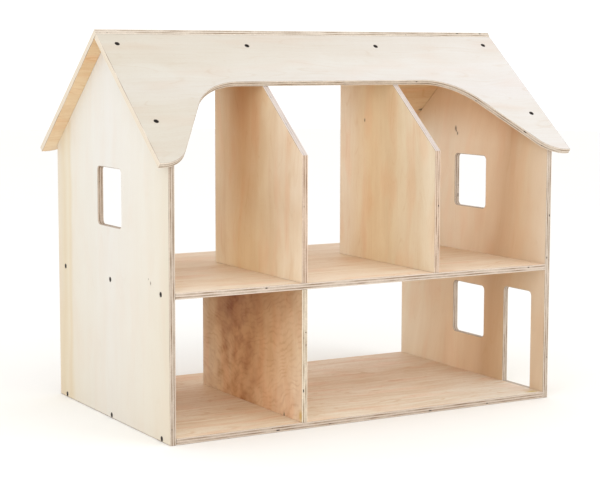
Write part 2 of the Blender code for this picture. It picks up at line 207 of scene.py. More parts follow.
# The veneer of each panel: which way its grain runs, and for its low and high face which
# colour it starts from, how strong its figure is, and its tones across the grain as
# (millimetres, tint). Fine is its share of fine grain, run is its tones along the grain,
# lean slants the grain, and crotch is where crotch figure has its middle. On some panels
# the tones are partly or wholly painted light and shade: lighter or darker towards an end
# or a side as the lamps would light it. Edge tints the sawn edges, and a painted highlight,
# given as (axis, least facing, strength, tint), whitens those that face along an axis.
# Knots are (x, y, face, radius) and clouds are (x, y, face, width, height, tint), in
# millimetres, where face is the height of the face: 0 for the low one, 9 for the high one.
# Clouds are real stains, or painted shade where a floor or the roof hangs over the panel.
# The seed gives each veneer a figure of its own.
PLAIN_TONES = ((-250, "#F7EFE2"), (-90, "#FFFFFF"), (60, "#F6EBDB"), (250, "#FFFAF2"))
VENEERS = {
    "left_gable": {
        "grain": "Y", "seed": 3.1, "fine": 0.6,
        "low": ("outer_veneer", 0.22, (
            (-200, "#FBF5E9"), (-120, "#FFFDF8"), (0, "#FFFFFF"), (95, "#FFFEFA"),
            (140, "#FEFAF2"), (151, "#FBF0DA"), (163, "#FDF5E4"), (178, "#F9EDD6"),
            (200, "#FBF2E3"),
        )),
        "high": ("inner_veneer", 0.4, (
            (-250, "#FFFFFD"), (-90, "#FFFFFF"), (60, "#FFFDFA"), (250, "#FFFFFF"),
        )),
        # Painted light: darker towards the bottom and lighter towards the top, as if lit more from
        # above.
        "run": ((0, "#FAF6F0"), (420, "#FFFFFF")),
        "edge": "#D6CDC3",
        "knots": ((-140, 217, 0, 2.6), (-133, 222, 0, 1.4)),
    },
    "right_gable": {
        "grain": "Y", "seed": 9.4, "fine": 0.45,
        "low": ("inner_veneer", 0.6, (
            (-200, "#E8DCD0"), (-140, "#E2CFB8"), (-90, "#DABFA5"), (-50, "#F0DCC8"),
            (0, "#FFF2E4"), (150, "#FFFBF4"),
        )),
        "high": ("outer_veneer", 0.15, PLAIN_TONES),
        "run": ((110, "#FAF4EC"), (220, "#FFFFFF"), (390, "#FFFFFF"), (450, "#F2E0CE")),
        "edge": "#DAD2C9",
        "knots": ((42, 410, 0, 4.2), (40, 406, 0, 2.0), (37, 402, 0, 2.8), (88, 300, 9, 1.6)),
        "lean": 0.16,
    },
    "base_floor": {
        "grain": "X", "seed": 14.7, "fine": 1.5,
        "low": ("inner_veneer", 0.9, PLAIN_TONES),
        "high": ("inner_veneer", 1.15, (
            (-200, "#FFFFFD"), (-120, "#FEF9F3"), (-20, "#FBF0E6"), (90, "#FAECDF"),
            (200, "#FBEEE3"),
        )),
        # Painted light: cooler and bluer towards the right end, as if a lamp lit it from the right.
        "run": ((-100, "#FFFCF8"), (300, "#F6F9FF")),
        "clouds": ((304, -187, 9, 18, 9, "#E3D596"),),
        "edge": "#DCD2C8",
    },
    "upper_floor": {
        "grain": "X", "seed": 21.2, "fine": 1.3,
        "low": ("inner_veneer", 0.9, PLAIN_TONES),
        "high": ("inner_veneer", 0.9, (
            (-200, "#FDF7F1"), (-130, "#FBF1E6"), (-30, "#F5E6D6"), (60, "#F1E0CD"),
            (200, "#F2E3D6"),
        )),
        "edge": "#E1D8CF",
        "knots": ((214, -40, 9, 1.4),),
    },
    "lower_divider": {
        "grain": "Y", "seed": 30.8, "fine": 0.3,
        "low": ("inner_veneer", 1.2, (
            (-200, "#FFF8F2"), (-150, "#FEEBDA"), (-100, "#F6DABD"), (-50, "#EBC8A4"),
            (0, "#F4CFA8"), (50, "#FFE9CC"), (115, "#FFF4EA"),
        )),
        "high": ("inner_veneer", 1.0, PLAIN_TONES),
        # Painted shade: the run darkens towards the top, under the upper floor. Of the clouds, the
        # small yellow one low at the front is a real stain, and the large brown one at the top is
        # painted shade under the upper floor.
        "run": ((40, "#FFFFFF"), (110, "#F4EDE0"), (180, "#DED2C2")),
        "clouds": ((-196, 18, 0, 9, 14, "#E8D69A"), (24, 215, 0, 70, 170, "#CBA57E")),
        "edge": "#EDE7D8",
        "knots": ((-148, 11, 0, 3.4),),
        "crotch": 5.0,
    },
    "upper_left_divider": {
        "grain": "Y", "seed": 37.5, "fine": 0.4,
        # The tones across the face are partly real tone and partly painted shade, darker in the
        # middle of the room, away from its front and back openings.
        "low": ("inner_veneer", 1.0, (
            (-200, "#FBF5EC"), (-145, "#FCF7EE"), (-80, "#EFDFC4"), (-20, "#FAE6C4"),
            (50, "#FFF4E2"),
        )),
        "high": ("inner_veneer", 1.0, PLAIN_TONES),
        # The run is partly real tone and partly painted shade, darker at mid height. The cloud is
        # painted shade at the top, under the roof.
        "run": ((215, "#FFFFFF"), (310, "#F1ECE8"), (440, "#FCFAFA")),
        "clouds": ((-22, 540, 0, 85, 330, "#D6B28C"),),
        # Painted highlight: the sloping top edges, which face up, are whitened as if lit from
        # above.
        "edge": "#E2D1C2", "painted_lit_edges": ("Y", 0.30, 0.55, "#EEEAEE"),
        "lean": 0.03,
    },
    "upper_right_divider": {
        "grain": "Y", "seed": 44.9, "fine": 0.5,
        "low": ("inner_veneer", 0.95, (
            (-200, "#EEE8DC"), (-140, "#EEE8DA"), (-80, "#EADCC2"), (-20, "#F6E6C9"),
            (50, "#FFF8EE"),
        )),
        "high": ("inner_veneer", 1.0, PLAIN_TONES),
        # Painted highlight: the sloping top edges, which face up, are whitened as if lit from
        # above.
        "edge": "#E2D1C2", "painted_lit_edges": ("Y", 0.30, 0.55, "#EEEAEE"),
        "knots": ((-4, 429, 0, 2.8),),
    },
    "front_roof": {
        "grain": "X", "seed": 52.3,
        "low": ("inner_veneer", 1.0, PLAIN_TONES),
        "high": ("outer_veneer", 0.42, (
            (-274, "#FCFBF8"), (-170, "#FBF9F4"), (-120, "#FFFFFF"), (-60, "#FCFAF5"),
            (0, "#F9F6F0"),
        )),
        # Painted light: darker and warmer at the left end, lighter and cooler at the right, as if
        # lit more from the right.
        "run": ((-320, "#EBE8E3"), (300, "#F9F9FE")),
        # Painted highlight: edges that face along X, mostly the roof's ends, are whitened as if lit
        # from the side.
        "edge": "#E9E4DC", "painted_lit_edges": ("X", 0.90, 0.85, "#FFF3E2"),
    },
    "rear_roof": {
        "grain": "X", "seed": 60.6,
        "low": ("inner_veneer", 1.1, ((-274, "#FAEFDD"), (-150, "#F1DEC3"), (0, "#EED8B8"))),
        "high": ("outer_veneer", 0.42, PLAIN_TONES),
        # Painted highlight: edges that face along X, mostly the roof's ends, are whitened as if lit
        # from the side.
        "edge": "#E9E4DC", "painted_lit_edges": ("X", 0.90, 0.85, "#FFF3E2"),
        "knots": ((-314, -184, 0, 4.8),),
    },
}

# Each layer of the veneer's figure: its length and width in millimetres, how broken up
# it is, and how much it darkens. Pores are 0.1 mm wide in the real wood, and are drawn
# 0.8 mm wide so that they show. The first BROAD layers are bands, and the others are fine
# grain, which each veneer has more or less of.
FIGURE = (
    (620, 34, 2.0, 0.75),
    (70, 40, 3.0, 0.80),
    (210, 8.5, 2.0, 0.60),
    (120, 2.6, 3.0, 0.60),
    (20, 0.8, 1.0, 0.25),
)
BROAD = 2


def plug(tree, socket, value):
    """Links the socket to a node, or sets it to a number or a colour."""
    if isinstance(value, bpy.types.Node):
        value = next(output for output in value.outputs if output.enabled)
    if isinstance(value, bpy.types.NodeSocket):
        tree.links.new(value, socket)
    else:
        socket.default_value = (*value, 1.0) if socket.type == "RGBA" else value


def add_node(tree, kind, *inputs, stops=(), **settings):
    """A node with its settings, its inputs in the order that it shows them, and a ramp's stops.

    The kind is Blender's name for the node and, after a dot, the operation that it does.
    """
    kind, _, operation = kind.partition(".")
    node = tree.nodes.new("ShaderNode" + kind)
    if operation:
        node.operation = operation
    for key, value in settings.items():
        setattr(node, key, value)
    for socket, value in zip([socket for socket in node.inputs if socket.enabled], inputs):
        plug(tree, socket, value)
    for index, (position, tone) in enumerate(stops):
        elements = node.color_ramp.elements
        element = elements[index] if index < 2 else elements.new(position)
        element.position = position
        element.color = (*tone, 1.0)
    return node


def new_material(name):
    """A material, the call that adds a node to it, and the place on the piece in millimetres."""
    material = bpy.data.materials.new(name)
    material.use_nodes = True
    add = functools.partial(add_node, material.node_tree)
    place = add("TexCoord").outputs["Object"]
    return material, add, add("VectorMath.SCALE", place, 1 / MM)


def finish_surface(material, inputs, relief=None, strength=0.0, depth=0.0):
    """Fills in the shader, with a bump from the relief that is this deep in metres."""
    tree = material.node_tree
    if relief:
        bump = add_node(tree, "Bump")
        for name, value in (("Strength", strength), ("Distance", depth), ("Height", relief)):
            plug(tree, bump.inputs[name], value)
        inputs["Normal"] = bump
    for name, value in inputs.items():
        plug(tree, tree.nodes["Principled BSDF"].inputs[name], value)


def noise_of_size(add, place, size, detail, shift=(0, 0, 0)):
    """Noise whose features have about this size along each axis, in the place's own unit."""
    scale = tuple(1 / extent for extent in size)
    where = add("VectorMath.MULTIPLY_ADD", place, scale, shift)
    return add("TexNoise", where, 1.0, detail)


def tones_along(add, distance, tones, base=(1.0, 1.0, 1.0)):
    """A colour times the tint at each distance, from tones as (millimetres, tint)."""
    low, high = tones[0][0], tones[-1][0]
    spread = add("MapRange", distance, low, high)
    stops = []
    for place, tint in tones:
        mixed = tuple(a * b for a, b in zip(base, linear(tint)))
        stops.append(((place - low) / (high - low), mixed))
    return add("ValToRGB", spread, stops=stops)


def tinted(add, under, mask, tint):
    """The colour under, multiplied by the tint where the mask is 1."""
    darker = add("VectorMath.MULTIPLY", under, linear(tint))
    return add("Mix", mask, under, darker, data_type="RGBA")


def soft_spot(add, in_mm, middle, spread, strength):
    """A mask that falls from its strength at the middle to 0 at the edge of an ellipse."""
    scale = (1 / spread[0], 1 / spread[1], 1.0)
    squeezed = add("VectorMath.MULTIPLY", in_mm, scale)
    centre = tuple(a * b for a, b in zip(middle, scale))
    away = add("VectorMath.DISTANCE", squeezed, centre)
    return add("MapRange", away, 0.0, 1.0, strength, 0.0, interpolation_type="SMOOTHSTEP")


def crotch_figure(add, in_mm, axes, middle):
    """How dark crotch figure is at each place: ripples that sag to a line up the panel,
    and clouds that gather round it."""
    side = add("Math.SUBTRACT", axes.outputs["X"], middle)
    side = add("Math.ABSOLUTE", side)
    rise = add("Math.MULTIPLY_ADD", side, -0.35, axes.outputs["Y"])
    wander, broken, clouds = [
        noise_of_size(add, in_mm, (size, size, math.inf), detail)
        for size, detail in ((60, 3.0), (17, 1.0), (26, 4.0))
    ]
    phase = add("Math.MULTIPLY_ADD", wander, 58.0, rise)
    wave = add("Math.PINGPONG", phase, 4.2)
    line = add("MapRange", wave, 0.0, 2.8, 0.26, 0.0, interpolation_type="SMOOTHSTEP")
    kept = add("MapRange", broken, 0.36, 0.66)
    near = add("MapRange", side, 20.0, 95.0, 0.75, 0.2)
    clouds = add("MapRange", clouds, 0.42, 0.68)
    clouds = add("Math.MULTIPLY", clouds, near)
    return add("Math.MULTIPLY_ADD", line, kept, clouds, use_clamp=True)


def sanded_birch_veneer(name, veneer, colours):
    """Rotary-peeled birch veneer, sanded and left bare.

    Peeling cuts the growth rings nearly flat, so the eye sees broad soft bands that
    wander along the grain, thin broken streaks, and a dusting of fine pores, on wood
    that is matt because sanding left it open.
    """
    material, add, in_mm = new_material(name)
    axes = add("SeparateXYZ", in_mm)
    along, across = axes.outputs["X"], axes.outputs["Y"]
    if veneer["grain"] == "Y":
        along, across = across, along
    middle = SHEET / MM / 2
    far_face = add("Math.GREATER_THAN", axes.outputs["Z"], middle)
    seed, fine, lean = veneer["seed"], veneer.get("fine", 1.0), veneer.get("lean", 0.0)
    # The two faces lie far apart in the noise, so each has its own figure.
    sheet = add("Math.MULTIPLY_ADD", far_face, 40.0, seed)
    flat = add("CombineXYZ", along, across, sheet)

    # The grain wanders about a centimetre either way over a hand's length, and may lean.
    wander = noise_of_size(add, flat, (210, 75, 1), 2.0)
    across = add("Math.MULTIPLY_ADD", wander, 46.0, across)
    across = add("Math.SUBTRACT", across, 23.0)
    across = add("Math.MULTIPLY_ADD", along, lean, across)
    across = add("Math.SUBTRACT", across, lean * 300)
    grained = add("CombineXYZ", along, across, sheet)

    # The layers of the figure add up around an even middle tone.
    dark = 0.42
    for layer, (run, width, detail, weight) in enumerate(FIGURE):
        weight *= 1.0 if layer < BROAD else fine
        shift = (seed, seed * layer, layer * 3.7)
        noise = noise_of_size(add, grained, (run, width, 1), detail, shift)
        even = add("Math.SUBTRACT", noise, 0.5)
        dark = add("Math.MULTIPLY_ADD", even, weight, dark)
    fibres = noise

    # Late wood shows as thin lines where the peeling knife crossed a ring, broken and arched.
    rings = noise_of_size(add, grained, (250, 44, 1), 1.0, (0, 0, 11.3))
    rings = add("Math.MULTIPLY", rings, 13.0)
    rings = add("Math.PINGPONG", rings, 0.5)
    line = add("MapRange", rings, 0.0, 0.13, 1.0, 0.0, interpolation_type="SMOOTHSTEP")
    runs = noise_of_size(add, grained, (75, 14, 1), 1.0, (0, 0, 23.9))
    runs = add("MapRange", runs, 0.46, 0.64)
    line = add("Math.MULTIPLY", line, runs)
    dark = add("Math.MULTIPLY_ADD", line, 0.5 * fine, dark)

    # Pores, as short dashes along the grain.
    pores = noise_of_size(add, grained, (7, 0.8, 1), 0.0, (0, 0, 31.7))
    pores = add("MapRange", pores, 0.66, 0.78)
    dark = add("Math.MULTIPLY_ADD", pores, 0.4 * fine, dark)

    # Each face has its own tones, and its own strength of figure.
    (low_base, low_strength, low), (high_base, high_strength, high) = veneer["low"], veneer["high"]
    low = tones_along(add, across, low, getattr(colours, low_base))
    high = tones_along(add, across, high, getattr(colours, high_base))
    tones = add("Mix", far_face, low, high, data_type="RGBA")
    # Tones along the grain: on some panels real tone, on others painted light and shade, lighter or
    # darker towards one end.
    if "run" in veneer:
        run = tones_along(add, along, veneer["run"])
        tones = add("VectorMath.MULTIPLY", tones, run)
    strength = add("MapRange", far_face, 0.0, 1.0, low_strength, high_strength)
    dark = add("Math.MULTIPLY", dark, strength, use_clamp=True)
    tint = tinted(add, tones, dark, "#EAD9C6")
    if "crotch" in veneer:
        figure = crotch_figure(add, in_mm, axes, veneer["crotch"])
        tint = tinted(add, tint, figure, "#C79F78")
    # Soft patches: real stains, and on the dividers painted shade at the top, under the floor or
    # roof above them.
    for x, y, face, wide, tall, tone in veneer.get("clouds", ()):
        tint = tinted(add, tint, soft_spot(add, in_mm, (x, y, face), (wide, tall), 1.0), tone)

    # Mineral stain leaves faint pink patches as long as a finger.
    patches = noise_of_size(add, grained, (95, 30, 1), 1.0, (0, 0, 41.3))
    patches = add("MapRange", patches, 0.48, 0.70, interpolation_type="SMOOTHSTEP")
    patches = add("Math.MULTIPLY", patches, strength, use_clamp=True)
    tint = tinted(add, tint, patches, "#FFF6F1")

    # Pin knots, a little longer than wide along the grain.
    for x, y, face, radius in veneer.get("knots", ()):
        long, wide = radius * 1.6, radius
        spread = (long, wide) if veneer["grain"] == "X" else (wide, long)
        heart = soft_spot(add, in_mm, (x, y, face), spread, 0.9)
        tint = add("Mix", heart, tint, colours.knot, data_type="RGBA")

    matt = add("MapRange", dark, 0.0, 1.0, 0.56, 0.68)
    relief = add("Math.SUBTRACT", fibres, pores)
    inputs = {"Base Color": tint, "Roughness": matt, "IOR": 1.5, "Specular IOR Level": 0.35}
    finish_surface(material, inputs, relief, 0.3, 0.00012)
    return material


def sawn_ply_edge(name, veneer, colours):
    """The sawn and sanded edge of five-ply birch plywood.

    Plies alternate: those that run along the edge are light in colour, and those that run across
    it show end grain, which is darker and blotched. Between them are thin resin lines,
    and here and there an inner ply has a gap. Edges that face along a given axis can be
    whitened as a painted highlight.
    """
    material, add, in_mm = new_material(name)
    axes = add("SeparateXYZ", in_mm)
    plan = add("VectorMath.MULTIPLY_ADD", in_mm, (1.0, 1.0, 0.0), (0.0, 0.0, veneer["seed"]))

    # Pressing leaves the plies a little uneven.
    uneven = noise_of_size(add, plan, (38, 38, 1), 2.0)
    depth = add("Math.MULTIPLY_ADD", uneven, 0.9, axes.outputs["Z"])
    depth = add("Math.SUBTRACT", depth, 0.45)
    depth = add("Math.DIVIDE", depth, SHEET / MM / PLIES)
    ply = add("Math.FLOOR", depth)
    crosses = add("Math.FLOORED_MODULO", ply, 2.0)
    level = add("CombineXYZ", 0.0, 0.0, ply)

    noises = []
    for size, detail, step in ((2.2, 2.0, 5.3), (34.0, 2.0, 9.1), (9.0, 0.0, 3.7)):
        shift = add("VectorMath.MULTIPLY", level, (0.0, 0.0, step))
        noises.append(noise_of_size(add, plan, (size, size, 1), detail, shift))
    pores, blotches, gaps = noises

    blotches = add("MapRange", blotches, 0.34, 0.66, 0.2, 1.0)
    end_grain = add("Math.MULTIPLY", crosses, blotches)
    tint = add("Mix", end_grain, colours.long_ply, colours.cross_ply, data_type="RGBA")
    speck = add("MapRange", pores, 0.3, 0.7, 1.06, 0.90)
    tint = add("VectorMath.SCALE", tint, speck)

    part = add("Math.FRACT", depth)
    part = add("Math.PINGPONG", part, 0.5)
    resin = add("MapRange", part, 0.04, 0.15, 0.7, 0.0, interpolation_type="SMOOTHSTEP")
    tint = add("Mix", resin, tint, colours.glue_line, data_type="RGBA")
    gap = add("MapRange", gaps, 0.76, 0.80)
    gap = add("Math.MULTIPLY", gap, crosses)
    tint = add("Mix", gap, tint, colours.ply_gap, data_type="RGBA")
    tint = add("VectorMath.MULTIPLY", tint, linear(veneer["edge"]))

    # Painted highlight: edges that face along the given axis are whitened towards the outer
    # veneer's colour, as if more light fell on them.
    if "painted_lit_edges" in veneer:
        axis, least, strength, tone = veneer["painted_lit_edges"]
        facing = add("TexCoord").outputs["Normal"]
        facing = add("SeparateXYZ", facing).outputs[axis]
        facing = add("Math.ABSOLUTE", facing)
        mask = add("MapRange", facing, least, least + 0.06, 0.0, strength)
        painted_lit_edges = tuple(a * b for a, b in zip(colours.outer_veneer, linear(tone)))
        tint = add("Mix", mask, tint, painted_lit_edges, data_type="RGBA")

    relief = add("Math.SUBTRACT", pores, gap)
    matt = add("MapRange", end_grain, 0.0, 1.0, 0.6, 0.75)
    inputs = {"Base Color": tint, "Roughness": matt, "IOR": 1.5, "Specular IOR Level": 0.3}
    finish_surface(material, inputs, relief, 0.4, 0.00015)
    return material


def black_phosphate_steel(colours):
    """Case-hardened steel with a black phosphate coat, dipped and oiled.

    The coat is a fine crystal layer, so the head looks near black and satin, with
    uneven sheen where the oil dried.
    """
    material, add, in_mm = new_material("black_phosphate_steel")
    coat = add("TexNoise", in_mm, 1.4, 3.0)
    grey = tuple(value * 2.4 for value in colours.steel)
    tint = add("Mix", coat, colours.steel, grey, data_type="RGBA")
    satin = add("MapRange", coat, 0.0, 1.0, 0.34, 0.56)
    inputs = {"Base Color": tint, "Roughness": satin, "Metallic": 0.85}
    finish_surface(material, inputs, coat, 0.2, 0.00002)
    return material


def fluted_beech(colours):
    """Steamed beech dowel, moulded with flutes that let the glue out.

    Beech shows short dark ray flecks along the grain on an even pinkish ground.
    """
    material, add, in_mm = new_material("fluted_beech")
    rays = noise_of_size(add, in_mm, (0.5, 0.5, 3), 1.0)
    flecks = add("MapRange", rays, 0.5, 0.75)
    brown = tuple(value * tone for value, tone in zip(colours.beech, linear("#D8BCA0")))
    tint = add("Mix", flecks, colours.beech, brown, data_type="RGBA")
    finish_surface(material, {"Base Color": tint, "Roughness": 0.6}, rays, 0.3, 0.00005)
    return material


def seamless_paper(stage):
    """Matt white background paper off a roll, with the faint tooth of its pressing."""
    material, add, in_mm = new_material("seamless_paper")
    tooth = add("TexNoise", in_mm, 9.0 * MM, 4.0)
    grey = tuple(value * 0.985 for value in stage.floor)
    tint = add("Mix", tooth, stage.floor, grey, data_type="RGBA")
    inputs = {"Base Color": tint, "Roughness": 0.9, "Specular IOR Level": 0.1}
    finish_surface(material, inputs)
    return material


def arc(centre, radius, start, end, steps):
    """Points on an arc, with its first and last ones. Angles are in radians."""
    angles = [start + (end - start) * step / steps for step in range(steps + 1)]
    return [
        Vector((centre[0] + radius * math.cos(a), centre[1] + radius * math.sin(a))) for a in angles
    ]


def rectangle(low_x, high_x, low_y, high_y):
    """Counterclockwise, from the low corner."""
    return [Vector(p) for p in ((low_x, low_y), (high_x, low_y), (high_x, high_y), (low_x, high_y))]


def opening(low_x, high_x, low_y, high_y, radius, square_base=False):
    """A window or a doorway, clockwise, so that the wood is on its left."""
    outline = arc((low_x + radius, high_y - radius), radius, 2 * QUARTER, QUARTER, CORNER_STEPS)
    outline += arc((high_x - radius, high_y - radius), radius, QUARTER, 0, CORNER_STEPS)
    if square_base:
        outline += [Vector((high_x, low_y)), Vector((low_x, low_y))]
    else:
        outline += arc((high_x - radius, low_y + radius), radius, 0, -QUARTER, CORNER_STEPS)
        corner = (low_x + radius, low_y + radius)
        outline += arc(corner, radius, -QUARTER, -2 * QUARTER, CORNER_STEPS)
    return outline


def inset(loop, distances):
    """The loop with each edge moved to its left by its own distance, mitred at the corners."""
    moved = []
    for index, corner in enumerate(loop):
        before = (corner - loop[index - 1]).normalized()
        after = (loop[(index + 1) % len(loop)] - corner).normalized()
        near, far = distances[index - 1], distances[index]
        left, next_left = Vector((-before.y, before.x)), Vector((-after.y, after.x))
        turn = left.x * next_left.y - left.y * next_left.x
        if abs(turn) < 1e-3:
            moved.append(corner + next_left * (near + far) / 2)
            continue
        shift_x = (near * next_left.y - far * left.y) / turn
        shift_y = (far * left.x - near * next_left.x) / turn
        moved.append(corner + Vector((shift_x, shift_y)))
    return moved


def slab(bm, loops, eases, thickness):
    """A sheet with an outline and openings, whose edges are rounded over on both faces.

    The first loop is the outline. Each loop has an ease for each of its edges. Faces of
    the sheet get material 0, and its edges get material 1.
    """
    rims = ([], [])
    for loop, ease in zip(loops, eases):
        rises = [max(ease[index - 1], ease[index]) for index in range(len(loop))]
        levels = []
        for step in range(ARRIS_STEPS + 1):
            angle = QUARTER * step / ARRIS_STEPS
            ring = inset(loop, [value * (1 - math.sin(angle)) for value in ease])
            levels.append((ring, [rise * (1 - math.cos(angle)) for rise in rises]))
        rings = [[bm.verts.new((*p, z)) for p, z in zip(*level)] for level in levels]
        rings += [
            [bm.verts.new((*p, thickness - z)) for p, z in zip(*level)]
            for level in reversed(levels)
        ]
        for ring, following in zip(rings, rings[1:]):
            for index in range(len(ring)):
                after = (index + 1) % len(ring)
                side = bm.faces.new((ring[index], ring[after], following[after], following[index]))
                side.material_index = 1
        rims[0].append(rings[0])
        rims[1].append(rings[-1])
    for rim in rims:
        if len(rim) == 1:
            bm.faces.new(rim[0])
            continue
        pairs = [(ring[index - 1], ring[index]) for ring in rim for index in range(len(ring))]
        edges = [bm.edges.get(pair) for pair in pairs]
        bmesh.ops.triangle_fill(bm, use_beauty=True, use_dissolve=False, edges=edges)


def mesh_from(name, build, materials=()):
    """A mesh made by build(bm), with its faces pointing out."""
    bm = bmesh.new()
    build(bm)
    bmesh.ops.recalc_face_normals(bm, faces=bm.faces)
    mesh = bpy.data.meshes.new(name)
    bm.to_mesh(mesh)
    bm.free()
    for material in materials:
        mesh.materials.append(material)
    return mesh


def add_object(name, mesh, place):
    obj = bpy.data.objects.new(name, mesh)
    obj.matrix_world = place
    bpy.context.scene.collection.objects.link(obj)
    return obj


def cut(obj, cutter_mesh, place):
    """Cuts the mesh out of the object, and leaves no modifier behind."""
    cutter = add_object("cutter", cutter_mesh, place)
    modifier = obj.modifiers.new("cut", "BOOLEAN")
    modifier.operation = "DIFFERENCE"
    modifier.solver = "EXACT"
    modifier.object = cutter
    bpy.context.view_layer.update()
    evaluated = obj.evaluated_get(bpy.context.evaluated_depsgraph_get())
    mesh = bpy.data.meshes.new_from_object(evaluated)
    if len(mesh.polygons) <= len(obj.data.polygons):
        raise RuntimeError(f"{obj.name}: the cut removed nothing")
    mesh.name = obj.data.name
    obj.modifiers.clear()
    obj.data = mesh
    bpy.data.objects.remove(cutter)


def shade(obj, angle=35):
    """Smooth shading that keeps flat faces flat, and creases over the angle in degrees."""
    obj.data.shade_smooth()
    obj.data.set_sharp_from_angle(angle=math.radians(angle))
    modifier = obj.modifiers.new("even_normals", "WEIGHTED_NORMAL")
    modifier.keep_sharp = True


def declare(piece, node):
    """The piece takes the place of this CAD node, which it hides, and rides with the root body."""
    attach(piece, "root")
    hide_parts(node)


def lathe(bm, rings, place, sides):
    """A closed solid from rings of (radius or radius(angle), z), from pole to pole."""
    turned = []
    for radius, z in rings:
        ring = []
        for step in range(sides if radius else 1):
            angle = 2 * math.pi * step / sides
            reach = radius(angle) if callable(radius) else radius
            spot = Vector((reach * math.cos(angle), reach * math.sin(angle), z))
            ring.append(bm.verts.new(place @ spot))
        turned.append(ring)
    for ring, following in zip(turned, turned[1:]):
        for step in range(sides):
            corners = [ring[step % len(ring)], ring[(step + 1) % len(ring)]]
            corners += [following[(step + 1) % len(following)], following[step % len(following)]]
            bm.faces.new(list(dict.fromkeys(corners)))


def pitch(sizes):
    return math.atan2(APEX_HEIGHT - sizes.eave_height, DEPTH / 2)


def front_slope(sizes):
    """The front roof's place: X along the house, Y up the slope with 0 at the apex."""
    return Matrix.Translation((0, 0, APEX_HEIGHT)) @ Matrix.Rotation(pitch(sizes), 4, "X")


def rear_slope(sizes):
    return Matrix.Rotation(math.pi, 4, "Z") @ front_slope(sizes)


def upright_at(x):
    """The place of an upright panel whose lower X face is at x: its X runs to the back."""
    return Matrix.Translation((x, 0, 0)) @ UPRIGHT


def gable_screws(fasteners, side):
    """Places of the screws from one gable into the two floors, with Z out of the wood."""
    out = Matrix.Rotation(side * QUARTER, 4, "Y")
    places = []
    for z in (SHEET / 2, UPPER_FLOOR_TOP - SHEET / 2):
        for step in (-1, 0, 1):
            spot = (side * LENGTH / 2, step * fasteners.floor_spacing, z)
            places.append(Matrix.Translation(spot) @ out)
    return places


def roof_screws(fasteners, slope):
    """Places of a roof panel's screws: for each side two into the gable, one into the divider."""
    places = []
    for side in (-1, 1):
        gable_x = side * (LENGTH / 2 - SHEET / 2)
        spots = [(gable_x, -fasteners.roof_top), (gable_x, -fasteners.roof_foot)]
        spots.append((side * DIVIDER_X, -fasteners.roof_divider))
        places += [slope @ Matrix.Translation((x, y, SHEET + CLEARANCE)) for x, y in spots]
    return places


def screws_up(x, back, head_z, count=3):
    """Places of the screws that go up into a divider from the floor below it."""
    inset_y = (back + DEPTH / 2) / (2 * count)
    spots = [-DEPTH / 2 + inset_y * (2 * index + 1) for index in range(count)]
    over = Matrix.Rotation(math.pi, 4, "X")
    return [Matrix.Translation((x, y, head_z)) @ over for y in spots]


def screw_groups(scene):
    """Each group of screws: its CAD name, its places, and the panels that it joins."""
    sizes, fasteners = scene.dollhouse_sizes, scene.dollhouse_fasteners
    floors, gables = ("base_floor", "upper_floor"), ("left_gable", "right_gable")
    uppers = ("upper_left_divider", "upper_right_divider")
    groups = [
        ("left_gable_screw", gable_screws(fasteners, -1), ("left_gable", *floors)),
        ("right_gable_screw", gable_screws(fasteners, 1), ("right_gable", *floors)),
    ]
    for roof, slope in (("front_roof", front_slope(sizes)), ("rear_roof", rear_slope(sizes))):
        groups.append((f"{roof}_screw", roof_screws(fasteners, slope), (roof, *gables, *uppers)))
    lower = screws_up(-DIVIDER_X, LOWER_DIVIDER_BACK, 0)
    groups.append(("lower_divider_screw", lower, ("base_floor", "lower_divider")))
    for name, x in zip(uppers, (-DIVIDER_X, DIVIDER_X)):
        places = screws_up(x, UPPER_DIVIDER_BACK, UPPER_FLOOR_TOP - SHEET)
        groups.append((f"{name}_screw", places, ("upper_floor", name)))
    return groups


def dowel_places(fasteners):
    """Upright, where the frame has the dowels along the divider, partly in the upper floor."""
    height = UPPER_FLOOR_TOP - SHEET + fasteners.dowel_rise - fasteners.dowel_length / 2
    places = []
    for number in (1, 2):
        low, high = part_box(f"lower_divider_dowel_{number}")
        places.append(Matrix.Translation((-DIVIDER_X, (low.y + high.y) / 2, height)))
    return places


def screw_seat(fasteners):
    """The half section of the hole that a screw sits in, clear of it all round."""
    head, shank = fasteners.head_radius + CLEARANCE, fasteners.crest_radius + CLEARANCE
    drop = fasteners.head_rim + CLEARANCE / 2
    return [
        (0, CLEARANCE), (head, CLEARANCE), (head, -drop),
        (shank, -drop - fasteners.head_radius + fasteners.crest_radius),
        (shank, fasteners.point_length - fasteners.screw_length),
        (0, -fasteners.screw_length - 3 * CLEARANCE),
    ]


def bore_seats(piece, node, scene):
    """Bores the seats of every screw and dowel that joins this panel."""
    fasteners = scene.dollhouse_fasteners
    seat = screw_seat(fasteners)
    places = []
    for _, group, joined in screw_groups(scene):
        if node in joined:
            places += group
    if node.endswith("gable"):
        side = -1 if node == "left_gable" else 1
        places = [place for place in places if place.translation.x * side > 0]
    elif "upper" in node and "divider" in node:
        side = -1 if "left" in node else 1
        places = [p for p in places if abs(p.translation.x - side * DIVIDER_X) < SHEET]
    dowels = dowel_places(fasteners) if node in ("lower_divider", "upper_floor") else []
    half = fasteners.dowel_length / 2 + CLEARANCE
    wide = fasteners.dowel_radius + CLEARANCE

    def build(bm):
        for place in places:
            lathe(bm, seat, place, SCREW_SIDES)
        for place in dowels:
            lathe(bm, [(0, half), (wide, half), (wide, -half), (0, -half)], place, SCREW_SIDES)
        for face in bm.faces:
            face.material_index = 1

    cut(piece, mesh_from("seats", build), Matrix.Identity(4))


